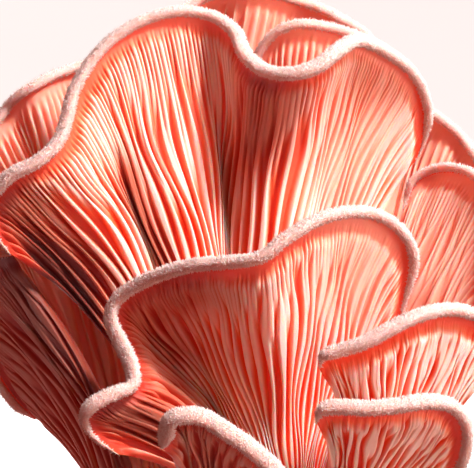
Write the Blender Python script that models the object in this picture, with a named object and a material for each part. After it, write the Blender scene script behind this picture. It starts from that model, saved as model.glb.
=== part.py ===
"""An oyster mushroom cluster, picked and standing on its cut base.

Each mushroom is one solid: a stem that opens into a ruffled fan, gilled on one side, with a rolled margin.
The stems stand in sockets of one shared base. X is to the right, Y away from the viewer, Z up, and the origin
is the middle of the cut face. Sizes and places are in millimetres, and MM turns them into Blender's metres.
"""

import math

import bmesh
import bpy
import numpy as np
from mathutils import Vector, noise

MM = 0.001

# The shared base: a lumpy stub, flat where it was cut
BASE_RADII = (27.0, 29.0)
BASE_SIDES = 40
BASE_RINGS = ((0.0, 0.84), (2.5, 0.95), (6.0, 1.0), (9.5, 0.96), (12.0, 0.85), (13.6, 0.62))
BASE_LUMP = 2.6
LUMPS_AROUND = 2.2
LUMPS_UP = 0.09
SOCKET_FLOOR = 6.5
SOCKET_GAP = 0.35
SOCKET_SIDES = 16

# What every mushroom shares
FOOT_TOP = 15.0
SHEET_THICKNESS = 2.3
RIM_THICKNESS = 1.5
ROLL_RADIUS = 0.95
ROLL_ANGLE = math.radians(110)
MARGIN_INSET = 0.7
FULL_ROLL_REACH = 14.0
END_CURL = 0.35
CURLS_OVER = 0.08
NORMAL_ROUNDS = 8
GILL_DEPTH = 2.1
GILL_STEEPNESS = 1.7
HOLLOW_SHARE = 0.6
PLEAT_OPENING = 0.35
MOST_ROOM = 20.0
LONG_GILL_SPAN = (0.02, 1.0)
SHORT_GILL_SPAN = (0.3, 0.98)
GILL_RISES_OVER = 0.2
GILL_FALLS_OVER = 0.07
STEM_SHARE = 0.36
MARGIN_SHARE = 0.36
LOWEST_MARGIN = FOOT_TOP + 5.0
FAN_ANGLE = 112
RADIAL_SHARE = 0.25
STEM_ENDS = 0.4
BODY_ENDS = 0.5
SIDE_ROUNDING = 6.0
BEZIER_STEPS = (0.0, 0.2, 0.44, 0.7, 0.92, 1.0)
ROLL_STEPS = (0.5, 1.0)
SUNK_STEP = -1.0
SPLINE_STEPS = 12
PLEAT_WIDTH = 0.07
PLEATS_FROM = 0.4
PLEATS_TO = 0.4
CREASE_ANGLE = math.radians(50)

FLESH = (0.88, 0.66, 0.60)
CORAL = (0.86, 0.38, 0.29)


def fan_margin(foot, turn, top, width, out, ruffle, waves, phase=0.0, count=17):
    """A fan's margin by formula: a drop shape from the stem's left side over the top to its right side, leaning
    out by so much at the top, and ruffled in waves across."""
    side, front = facing(turn)
    points = []
    for a in np.radians(np.linspace(-FAN_ANGLE, FAN_ANGLE, count)):
        rise = (1 + math.cos(a)) / 2
        across = width / 2 * math.sin(a) * (0.25 + 0.75 * rise**0.5)
        outward = out * rise**0.8 + ruffle * rise * math.sin(waves * a + phase)
        height = LOWEST_MARGIN + (top - LOWEST_MARGIN) * rise
        spot = np.array([*foot, height]) + side * across + front * outward
        points.append(tuple(spot))
    return points


def facing(turn):
    """A fan's own axes: sideways, and out of its gilled side. A turn of 0 faces -Y."""
    a = math.radians(turn)
    return np.array([math.cos(a), math.sin(a), 0.0]), np.array([math.sin(a), -math.cos(a), 0.0])


# foot: where the stem stands. radii: its half widths. lean: the stem's direction. flare: how far the
# margin arrives leaning towards the gilled side, at even places across the fan. pleats: places across,
# from 0 to 1, and depths of folds down the fan. turn: the way the gills face. gills: ridges across the
# fan. margin: from the left end of the fan over the top to the right end, as seen from the gilled side.
MUSHROOMS = {
    "mushroom_back_large": {
        "foot": (0.0, 3.0), "radii": (6.0, 3.4), "lean": (0.0, 0.12, 1.0),
        "flare": (1.2, 0.8, 0.3, 0.2, 0.5, 1.1, 0.9, 0.6, 0.5),
        "pleats": ((0.22, -1.0), (0.31, 1.1), (0.48, -1.2), (0.63, 1.0)),
        "gills": 46,
        "margin": [
            (-34, -3.4, 58.6), (-36.4, -4.8, 62.2), (-36.7, -6, 66.5), (-33.8, -7, 70.2),
            (-29.8, -7, 72.2), (-26.9, -5.6, 74.9), (-25.7, -3.8, 78.2), (-24.5, -1.8, 82.9),
            (-20.8, 0.2, 88.7), (-15.6, 1.8, 92.8), (-9.5, 3.2, 94.9), (-3.8, 4.0, 94.5),
            (-0.1, 2.8, 92.2), (1.6, 0.8, 88.6), (4.6, -2.2, 86), (8.1, -4.8, 85.5), (11.6, -5, 86.6),
            (14.4, -3, 88.9), (17.5, 1, 90.8), (22, 6, 89.7), (26.4, 10.8, 86.8), (29, 16, 82.5),
            (29.5, 20, 76.5), (28.4, 21, 73),
        ],
    },
    "mushroom_front_middle": {
        "foot": (6.0, -8.0), "radii": (5.0, 3.2), "lean": (0.0, 0.1, 1.0),
        "flare": (1.0, 0.7, 1.0, 1.2, 0.9, 0.4, 0.3, 0.3, 0.3),
        "gills": 38,
        "margin": [
            (-17.5, -14.6, 29.8), (-21, -15.3, 32.4), (-22.4, -16, 35.2), (-21.2, -17, 37.4),
            (-18.3, -16.6, 38.8), (-15.9, -15, 39.4), (-15.5, -13.6, 40.8), (-16.1, -11.2, 42.7),
            (-17.5, -8.8, 45.3), (-19, -7, 48.7), (-18.3, -6.6, 51.7), (-15.5, -7.8, 54),
            (-11.2, -10.6, 56), (-6, -14.2, 57.3), (-0.7, -17.4, 57.7), (3.5, -19.2, 58.4),
            (6.8, -18.8, 61), (10.9, -17, 63.4), (15.5, -14.6, 64.6), (19.9, -12, 64.2),
            (23.4, -9.6, 62), (25.3, -7.4, 58.4), (24.9, -6, 53.5), (24, -5, 48.5),
        ],
    },
    "mushroom_right_upper": {
        "foot": (18.0, -8.5), "radii": (4.0, 2.8), "lean": (0.35, -0.25, 1.0),
        "flare": (0.6,), "gills": 24,
        "margin": [
            (11.6, -20.9, 42.6), (12.3, -21.5, 44.6), (14.8, -22, 45.5), (18, -22.5, 46.6),
            (21.4, -22, 48.4), (24.6, -21, 49.9), (28.3, -19, 50.8), (32, -17, 50.6), (35.2, -14, 48.9),
            (37.3, -12, 45), (37, -11.4, 41),
        ],
    },
    "mushroom_right_lower": {
        "foot": (15.0, -16.0), "radii": (3.6, 2.4), "lean": (0.3, -0.45, 1.0),
        "flare": (0.6,), "gills": 18,
        "margin": [
            (10.9, -29.6, 35.8), (11.8, -30.8, 37.9), (14.4, -31.5, 38.3), (18, -32, 38.2),
            (21.9, -31.5, 38.5), (25.6, -30, 38.9), (29.3, -27, 38.1), (31.7, -24, 35.1),
            (31.6, -21, 30), (29.5, -19.8, 26.5),
        ],
    },
    "mushroom_front_left": {
        "foot": (-2.0, -17.0), "radii": (3.6, 2.4), "lean": (0.0, -0.5, 1.0),
        "flare": (1.2,), "gills": 16,
        "margin": [
            (-10.3, -31.4, 32.4), (-9.4, -33.8, 36.6), (-6.9, -34.5, 37.6), (-4.2, -34, 37.2),
            (-1.2, -33, 35.3), (2, -32, 33), (5.8, -31, 29.5), (7.7, -28.2, 25.5), (6.8, -25.5, 22.8),
        ],
    },
    "mushroom_left": {
        "foot": (-15.5, 1.5), "radii": (4.0, 2.6), "lean": (-0.25, 0.15, 1.0), "flare": (0.3,), "gills": 16,
        "turn": -50,
        "margin": [
            (-31.6, 11, 33), (-35, 11.4, 37), (-38, 10.8, 42), (-39.8, 9.4, 48), (-39.5, 6.6, 54),
            (-37.3, 4.2, 58), (-34.3, 3.2, 58.5),
        ],
    },
    "mushroom_left_back": {
        "foot": (-13.5, 10.5), "radii": (4.0, 2.6), "lean": (-0.2, 0.15, 1.0), "flare": (0.4,), "gills": 18,
        "margin": [
            (-36.4, 16.5, 57), (-39.2, 15.4, 62.5), (-40.2, 13.5, 69), (-39.5, 10.5, 75.6),
            (-35.7, 11.5, 80.9), (-32, 10, 84), (-27.6, 14, 86.6), (-22.4, 17, 88), (-17.8, 19, 85.4),
            (-15.6, 19.5, 79),
        ],
    },
    "mushroom_right_back": {
        "foot": (19.0, 5.0), "radii": (4.0, 2.6), "lean": (0.1, 0.1, 1.0), "flare": (0.4,), "gills": 16,
        "margin": [
            (26.8, 22.6, 65.5), (28, 23.2, 68.2), (30, 22.8, 70.3), (32.5, 21.5, 71.2), (35, 18, 71.2),
            (37.3, 14.5, 70.3), (39.1, 10, 67.9), (39.9, 7, 62.4), (38.9, 4, 55.5), (37.2, 3.3, 50),
        ],
    },
    "mushroom_right_far": {
        "foot": (15.0, 14.0), "radii": (3.6, 2.4), "lean": (0.15, 0.3, 1.0), "flare": (0.4,), "gills": 14,
        "margin": [
            (16.5, 35.5, 63), (17.5, 37, 69), (20, 38, 75.5), (24.5, 37, 82), (27.5, 34, 83.2),
            (31.3, 35, 81.7), (34.4, 31, 79.3), (37.4, 30, 76.2), (39.8, 26.5, 72.1), (40.5, 25.5, 65.5),
            (39.2, 23.5, 57.5),
        ],
    },
    "mushroom_top_right": {
        "foot": (4.0, 13.5), "radii": (3.6, 2.4), "lean": (0.0, 0.12, 1.0), "flare": (0.4,), "gills": 14,
        "margin": [
            (-0.2, 20.6, 76), (1.1, 20.4, 82.5), (3.4, 19.4, 89), (6, 18, 92.7), (9.6, 17, 94.4),
            (14.4, 18, 94), (18.2, 19.5, 93), (22.9, 22, 91), (25, 24, 88), (25, 26.5, 82),
            (23, 26.8, 76),
        ],
    },
    "mushroom_top_far": {
        "foot": (-6.0, 15.5), "radii": (3.8, 2.6), "lean": (0.0, 0.3, 1.0), "flare": (0.4,), "gills": 18,
        "margin": [
            (-20.8, 29.3, 70), (-20, 28.5, 79), (-17.6, 25.5, 87.5), (-13, 23.5, 94.5), (-6, 26.5, 99),
            (2, 23.5, 100.5), (10, 27, 99), (16, 26, 96.5), (21.8, 30.5, 92.5), (22.5, 34, 86),
            (20, 34.2, 79),
        ],
    },
    "mushroom_rear_left": {
        "foot": (-12.0, 20.0), "radii": (3.6, 2.4), "lean": (-0.25, 0.6, 1.0), "flare": (0.5,), "gills": 16,
        "turn": 212,
        "margin": fan_margin((-12.0, 20.0), 212, top=78, width=42, out=25, ruffle=2.4, waves=4.5, phase=0.6),
    },
    "mushroom_rear_right": {
        "foot": (10.5, 20.5), "radii": (3.6, 2.4), "lean": (0.25, 0.65, 1.0), "flare": (0.5,), "gills": 16,
        "turn": 164,
        "margin": fan_margin((10.5, 20.5), 164, top=70, width=35, out=28, ruffle=2.0, waves=4.0, phase=2.2),
    },
    "mushroom_rear_low": {
        "foot": (-1.5, 23.5), "radii": (3.0, 2.2), "lean": (0.0, 1.0, 1.0), "flare": (0.4,), "gills": 12,
        "turn": 182,
        "margin": fan_margin((-1.5, 23.5), 182, top=43, width=25, out=29, ruffle=1.6, waves=3.5, phase=4.0),
    },
}


def smooth(t):
    t = np.clip(t, 0.0, 1.0)
    return t * t * (3 - 2 * t)


def unit(v):
    return v / np.maximum(np.linalg.norm(v, axis=-1, keepdims=True), 1e-9)


def margin_curve(points):
    """A smooth curve through the margin's points (Catmull-Rom)."""
    p = np.array(points, float)
    p = np.vstack([2 * p[0] - p[1], p, 2 * p[-1] - p[-2]])
    t = np.linspace(0, 1, SPLINE_STEPS, endpoint=False)[:, None]
    spans = [
        0.5 * (2 * b + (c - a) * t + (2 * a - 5 * b + 4 * c - d) * t**2 + (3 * b - a - 3 * c + d) * t**3)
        for a, b, c, d in zip(p, p[1:], p[2:], p[3:])
    ]
    return np.vstack([*spans, p[-2:-1]])


def stations(curve, foot, count):
    """Points along the margin, evenly spaced across the fan and wider apart where the margin runs along it."""
    step = np.diff(curve, axis=0)
    radial = unit((curve[1:] + curve[:-1]) / 2 - foot)
    sideways = step - radial * np.sum(step * radial, axis=1, keepdims=True)
    weight = np.linalg.norm(sideways, axis=1) + RADIAL_SHARE * np.linalg.norm(step, axis=1)
    run = np.concatenate([[0], np.cumsum(weight)]) / weight.sum()
    at = np.linspace(0, 1, count)
    return np.stack([np.interp(at, run, curve[:, k]) for k in range(3)], axis=1)


def pleats(spec, at):
    """How far the fan's pleats stand out towards the gilled side, or in, at these places across."""
    stand = np.zeros(len(at))
    for place, depth in spec.get("pleats", ()):
        stand += depth * np.exp(-(((at - place) / PLEAT_WIDTH) ** 2))
    return stand


def middle_sheet(spec, count):
    """The fan's middle surface, column by column, from the sunk foot to the margin, and its steps."""
    side, front = facing(spec.get("turn", 0.0))
    foot = np.array([*spec["foot"], FOOT_TOP])
    lean = unit(np.array(spec["lean"]))
    across = -np.cos(math.pi * np.linspace(0, 1, count))[:, None]
    edge = stations(margin_curve(spec["margin"]), foot, count)
    start = foot + across * side * spec["radii"][0]
    edge = edge - unit(edge - start) * MARGIN_INSET
    flare = np.interp(np.linspace(0, 1, count), np.linspace(0, 1, len(spec["flare"])), spec["flare"])[:, None]
    length = np.linalg.norm(edge - start, axis=1)[:, None]
    stem = start + lean * length * STEM_SHARE
    hub = foot + lean * length * STEM_SHARE
    arrival = unit(unit(edge - hub) + front * flare)
    neck = edge - arrival * length * MARGIN_SHARE
    fold = front * pleats(spec, np.linspace(0, 1, count))[:, None]
    rows = [start - (0, 0, FOOT_TOP - SOCKET_FLOOR - SOCKET_GAP)]
    for t in BEZIER_STEPS:
        s = 1 - t
        curve = s**3 * start + 3 * s * s * t * stem + 3 * s * t * t * neck + t**3 * edge
        rows.append(curve + fold * smooth(t / PLEATS_FROM) * smooth(s / PLEATS_TO))
    return np.stack(rows, axis=1), np.array([SUNK_STEP, *BEZIER_STEPS])


def soften(field, rounds):
    """Averages each column with its neighbours, so many times over."""
    for _ in range(rounds):
        padded = np.concatenate([field[:1], field, field[-1:]])
        field = (padded[:-2] + 2 * field + padded[2:]) / 4
    return field


def sheet(spec, count):
    """The middle of the fan with its rolled margin: points, normals out of the gilled side, half thickness."""
    front = facing(spec.get("turn", 0.0))[1]
    mid, steps = middle_sheet(spec, count)
    normal = unit(np.cross(np.gradient(mid, axis=0), np.gradient(mid, axis=1)))
    fan = smooth(steps / STEM_ENDS)[None, :, None]
    normal = unit(soften(front * (1 - fan) + normal * fan, NORMAL_ROUNDS))
    inward = normal[:, -1]
    out = unit(soften(np.cross(inward, np.gradient(mid[:, -1], axis=0)), NORMAL_ROUNDS))
    reach = np.linalg.norm(mid[:, -1] - mid[:, 1], axis=1)[:, None]
    at = np.linspace(0, 1, count)[:, None]
    radius = ROLL_RADIUS * smooth(reach / FULL_ROLL_REACH)
    curl = ROLL_ANGLE * (END_CURL + (1 - END_CURL) * smooth(np.minimum(at, 1 - at) / CURLS_OVER))
    angles = [share * curl for share in ROLL_STEPS]
    roll = [mid[:, -1] + radius * (np.sin(a) * out + (1 - np.cos(a)) * inward) for a in angles]
    turned = [np.cos(a) * inward - np.sin(a) * out for a in angles]
    rounding = np.sin(math.pi * at)
    taper = np.clip(rounding * SIDE_ROUNDING, 0, 1) ** 0.5
    body = smooth(steps / BODY_ENDS)[None, :]
    half = SHEET_THICKNESS + (RIM_THICKNESS - SHEET_THICKNESS) * smooth((steps - BODY_ENDS) / (1 - BODY_ENDS))
    thick = spec["radii"][1] * rounding * (1 - body) + half[None, :] / 2 * body * taper
    rim = RIM_THICKNESS / 2 * taper * np.array([1.0] * (len(ROLL_STEPS) - 1) + [0.0])
    return (
        np.concatenate([mid, np.stack(roll, axis=1)], axis=1),
        np.concatenate([normal, np.stack(turned, axis=1)], axis=1),
        np.concatenate([thick, rim], axis=1),
        np.concatenate([steps, 1.0 + np.array(ROLL_STEPS)]),
    )


def gill_relief(mid, steps):
    """How far each point stands out as a gill: every second column is a ridge, and every second ridge is a
    short gill that starts partway up the fan. Gills are no taller than their spacing allows."""
    column = np.arange(len(mid))[:, None]
    across, along = np.gradient(mid, axis=0), np.gradient(mid, axis=1)
    spacing = np.linalg.norm(np.cross(across, along), axis=2) / np.linalg.norm(along, axis=2)
    start = np.where(column % 4 == 1, LONG_GILL_SPAN[0], SHORT_GILL_SPAN[0])
    end = np.where(column % 4 == 1, LONG_GILL_SPAN[1], SHORT_GILL_SPAN[1])
    rise = smooth((steps[None, :] - start) / GILL_RISES_OVER) * smooth((end - steps[None, :]) / GILL_FALLS_OVER)
    depth = GILL_DEPTH * (1.15 - 0.4 * np.clip(steps, 0, 1))[None, :]
    return (column % 2) * rise * np.minimum(depth, spacing * GILL_STEEPNESS)


def room_in_front(mid, normal):
    """How far the gilled side can stand off the middle sheet before its columns meet in a hollow or a pleat.
    Room is least where the normals close most, and grows with distance from there."""
    across = np.gradient(mid, axis=0)
    closing = -np.sum(across * np.gradient(normal, axis=0), axis=2) / np.sum(across * across, axis=2)
    room = HOLLOW_SHARE / np.maximum(closing, 1 / MOST_ROOM)
    apart = np.linalg.norm(mid[:, None] - mid[None], axis=3)
    return np.min(room[None] + PLEAT_OPENING * apart, axis=1)


def triangles(bm, corners, across):
    """Two triangles for a four-cornered cell, cut from its first corner or its second."""
    a, b, c, d = corners[across:] + corners[:across]
    bm.faces.new((a, b, c))
    bm.faces.new((a, c, d))


def mushroom(name, spec, collection, material):
    """One mushroom: a gilled front and a smooth back, sewn together at the margin, the sides and the foot."""
    count = 2 * spec["gills"] + 1
    mid, normal, thick, steps = sheet(spec, count)
    relief = gill_relief(mid, steps)
    front = mid + normal * np.minimum(thick + relief, room_in_front(mid, normal))[..., None]
    back = mid - normal * thick[..., None]
    end, tip = count - 1, mid.shape[1] - 1
    bm = bmesh.new()
    gilled, plain = {}, {}
    for i in range(count):
        for j in range(tip + 1):
            if i in (0, end) or j == tip:
                gilled[i, j] = plain[i, j] = bm.verts.new(mid[i, j] * MM)
                continue
            gilled[i, j] = bm.verts.new(front[i, j] * MM)
            if i % 2 == 0:
                plain[i, j] = bm.verts.new(back[i, j] * MM)
    for i in range(end):
        for j in range(tip):
            cell = [gilled[i, j], gilled[i + 1, j], gilled[i + 1, j + 1], gilled[i, j + 1]]
            triangles(bm, cell, 1 - i % 2)
    for i in range(0, end, 2):
        for j in range(tip - 1):
            triangles(bm, [plain[i, j], plain[i, j + 1], plain[i + 2, j + 1], plain[i + 2, j]], 0)
        left, right = plain[i, tip - 1], plain[i + 2, tip - 1]
        bm.faces.new((left, gilled[i, tip], gilled[i + 1, tip]))
        bm.faces.new((left, gilled[i + 1, tip], right))
        bm.faces.new((right, gilled[i + 1, tip], gilled[i + 2, tip]))
    under = [gilled[i, 0] for i in range(count)] + [plain[i, 0] for i in range(end - 2, 0, -2)]
    bm.faces.new(under[::-1])
    return add_object(name, bm, collection, material)


def add_object(name, bm, collection, material=None):
    mesh = bpy.data.meshes.new(name)
    bm.to_mesh(mesh)
    bm.free()
    mesh.shade_smooth()
    mesh.set_sharp_from_angle(angle=CREASE_ANGLE)
    obj = bpy.data.objects.new(name, mesh)
    if material:
        mesh.materials.append(material)
    collection.objects.link(obj)
    return obj


def finish(name, colour, roughness):
    material = bpy.data.materials.new(name)
    material.use_nodes = True
    shader = material.node_tree.nodes["Principled BSDF"]
    shader.inputs["Base Color"].default_value = (*colour, 1.0)
    shader.inputs["Roughness"].default_value = roughness
    shader.inputs["Metallic"].default_value = 0.0
    return material


def base(collection, material):
    """The stub that the stems grew from: rings of a cone swollen into lumps, above a flat cut face."""
    bm = bmesh.new()
    rings = []
    for height, share in BASE_RINGS:
        made = bmesh.ops.create_circle(bm, segments=BASE_SIDES, radius=1.0)["verts"]
        for v in made:
            around = Vector((v.co.x, v.co.y, 0.0))
            lump = noise.noise(around * LUMPS_AROUND + Vector((0, 0, height * LUMPS_UP))) * BASE_LUMP
            swell = share + lump / BASE_RADII[0]
            v.co = (around.x * swell * BASE_RADII[0], around.y * swell * BASE_RADII[1], height)
            v.co *= MM
        rings.append(made)
    for low, high in zip(rings, rings[1:]):
        for i in range(BASE_SIDES):
            k = (i + 1) % BASE_SIDES
            bm.faces.new((low[i], low[k], high[k], high[i]))
    bm.faces.new(rings[0][::-1])
    bm.faces.new(rings[-1])
    bmesh.ops.recalc_face_normals(bm, faces=bm.faces)
    return add_object("cut_base", bm, collection, material)


def socket_cutter(name, spec, collection):
    """An elliptical plug a little wider than the stem, from the socket's floor to above the base."""
    high = LOWEST_MARGIN
    bm = bmesh.new()
    bmesh.ops.create_cone(
        bm, cap_ends=True, segments=SOCKET_SIDES, radius1=1.0, radius2=1.0, depth=(high - SOCKET_FLOOR) * MM
    )
    for v in bm.verts:
        v.co.x *= (spec["radii"][0] + 2 * SOCKET_GAP) * MM
        v.co.y *= (spec["radii"][1] + 2 * SOCKET_GAP) * MM
    cutter = add_object(name + "_socket", bm, collection)
    cutter.location = Vector((*spec["foot"], (high + SOCKET_FLOOR) / 2)) * MM
    cutter.rotation_euler.z = math.radians(spec.get("turn", 0.0))
    cutter.display_type = "WIRE"
    cutter.hide_render = True
    return cutter


def main():
    for obj in list(bpy.data.objects):
        bpy.data.objects.remove(obj)
    collection = bpy.data.collections.new("oyster_mushroom_cluster")
    cutters = bpy.data.collections.new("cutters")
    bpy.context.scene.collection.children.link(collection)
    bpy.context.scene.collection.children.link(cutters)
    coral = finish("coral", CORAL, 0.55)
    stub = base(collection, finish("flesh", FLESH, 0.6))
    for name, spec in MUSHROOMS.items():
        mushroom(name, spec, collection, coral)
        cut = stub.modifiers.new(name, "BOOLEAN")
        cut.operation = "DIFFERENCE"
        cut.solver = "EXACT"
        cut.object = socket_cutter(name, spec, cutters)


main()
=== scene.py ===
"""The looks of the oyster mushroom cluster: fine gills, rolled felted margins, soft flesh and light.

Each fan is built again from its own outline, with finer gills, and stands for its plain solid in the
frame. X is to the right, Y away from the viewer, Z up. Sizes and places are in millimetres, and MM turns
them into metres. The floor and the lights are in metres.
"""

import math

import bmesh
import bpy
import numpy as np
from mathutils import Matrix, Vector, noise

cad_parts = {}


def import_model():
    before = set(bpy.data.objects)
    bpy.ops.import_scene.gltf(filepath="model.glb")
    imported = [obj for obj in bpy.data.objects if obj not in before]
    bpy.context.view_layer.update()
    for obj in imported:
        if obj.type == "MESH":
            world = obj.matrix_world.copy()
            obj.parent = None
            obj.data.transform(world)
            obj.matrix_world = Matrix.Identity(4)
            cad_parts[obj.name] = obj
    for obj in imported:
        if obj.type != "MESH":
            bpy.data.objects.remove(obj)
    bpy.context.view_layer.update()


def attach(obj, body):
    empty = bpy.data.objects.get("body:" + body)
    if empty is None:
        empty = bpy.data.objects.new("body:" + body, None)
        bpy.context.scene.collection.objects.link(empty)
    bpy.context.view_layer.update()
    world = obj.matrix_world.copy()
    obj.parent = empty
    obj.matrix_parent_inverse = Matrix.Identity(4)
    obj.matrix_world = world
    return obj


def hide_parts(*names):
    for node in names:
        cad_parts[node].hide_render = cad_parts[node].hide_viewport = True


MM = 0.001
FIRST_SEED = 7

# The camera's view: the photograph's width in pixels, a pixel's size at the origin, the camera's place
PHOTO_WIDTH = 474
PIXEL = 0.15
CAMERA_DISTANCE = 330.0
CAMERA_HEIGHT = 61.0
SENSOR = 36.0

# What every mushroom shares
FOOT_TOP = 15.0
FOOT_DEPTH = 8.0
LOWEST_MARGIN = FOOT_TOP + 5.0
FAN_ANGLE = 112
NARROW_SHARE = 0.25
WIDENS_AS = 0.5
LEANS_AS = 0.8
SHEET_THICKNESS = 2.2
RIM_THICKNESS = 1.3
ROLL_RADIUS = 0.8
ROLL_ANGLE = math.radians(110)
ROLL_ROWS = 6
LIP_ROWS = 4
END_CURL = 0.35
CURLS_OVER = 0.08
END_SHARE = 0.4
END_TAPERS_OVER = 0.06
MARGIN_INSET = 0.8
STEM_SHARE = 0.36
MARGIN_SHARE = 0.36
RADIAL_SHARE = 0.25
STEM_ENDS = 0.4
BODY_ENDS = 0.5
SIDE_ROUNDING = 14.0
SPLINE_STEPS = 16
PLEAT_WIDTH = 0.07
PLEATS_FROM = 0.4
PLEATS_TO = 0.4
SMOOTH_COLUMNS = 161
NORMAL_ROUNDS = 24

# Gills: their heights and widths, and where each of the three lengths starts, as a share of the fan
GILL_LENGTHS = 3
GILL_DEPTH = 1.6
DEPTH_BELOW = 1.15
DEPTH_LOSS = 0.45
DEPTH_PER_SPACING = 3.6
GILL_STRENGTH = (0.82, 1.0)
# How far the painted light wash flattens the gills
PAINTED_LIGHT_WASH_FLATTER = 0.5
COLUMNS_PER_GILL = 6
FAN_ROWS = 50
MARGIN_CROWDING = 1.6
EDGE_HALF = 0.13
FOOT_HALF = 0.4
BREADTH_VARIES = 0.35
BREADTH_BEATS = (2.0, 6.0)
WIDER_BELOW = 1.1
ROOM_SHARE = 0.42
NEIGHBOURS = 4
GILL_STARTS = (0.02, 0.68, 0.8)
START_SPREAD = (0.01, 0.13, 0.07)
GILL_RISES_OVER = (0.14, 0.16, 0.12)
BARE_BAND = 1.2
BAND_SPREAD = 0.4
GILL_FADES_OVER = 2.2
GILL_WOBBLE = 0.42
WOBBLES = 3
WOBBLE_WAVES = (1.0, 4.5)
WOBBLE_PER_SPACING = 3
SWAY_ENDS = 0.25

# Waves that neighbouring gills share: waves across, waves along and strength
FAN_WAVES = ((9, 7, 1.0), (23, -11, 0.7), (51, 17, 0.4))
FAN_WAVE = 0.011
WAVES_FROM_SIDE = 0.12
WAVES_FROM_FOOT = 0.4

# Spots: how soft their edges are, and the strength of painted shade at which the flesh is darkest; and
# where the flesh is pale: on the roll, and on the back over so many millimetres from the rim
SPOTS_SPREAD = 0.15
MOST_PAINTED_SHADE = 2.0
PALE_FROM = 0.42
PALE_OVER = 0.2
PALE_BACK_OVER = 9.0

# How tall a gill may be inside a fold
HOLLOW_SHARE = 0.6
PLEAT_OPENING = 0.35
MOST_ROOM = 20.0

# Felt on the rolled margins
FELT_LENGTH = (0.2, 0.5)
FELT_RADIUS = 0.085
FELT_ROOT = 0.05
FELT_SPREAD = 0.5
FELT_ROWS_BELOW = 3
FELT_ROWS_ROUND = 6


def fan_margin(foot, turn, top, width, out, ruffle, waves, phase=0.0, count=17):
    """A fan's margin by formula: a drop shape from the stem's left side over the top to its right side,
    leaning out by so much at the top, and ruffled in waves across."""
    side, front = facing(turn)
    points = []
    for a in np.radians(np.linspace(-FAN_ANGLE, FAN_ANGLE, count)):
        rise = (1 + math.cos(a)) / 2
        across = width / 2 * math.sin(a) * (NARROW_SHARE + (1 - NARROW_SHARE) * rise**WIDENS_AS)
        outward = out * rise**LEANS_AS + ruffle * rise * math.sin(waves * a + phase)
        height = LOWEST_MARGIN + (top - LOWEST_MARGIN) * rise
        spot = np.array([*foot, height]) + side * across + front * outward
        points.append(tuple(spot))
    return points


def facing(turn):
    """A fan's own axes: sideways, and out of its gilled side. A turn of 0 faces -Y."""
    a = math.radians(turn)
    return np.array([math.cos(a), math.sin(a), 0.0]), np.array([math.sin(a), -math.cos(a), 0.0])
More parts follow.
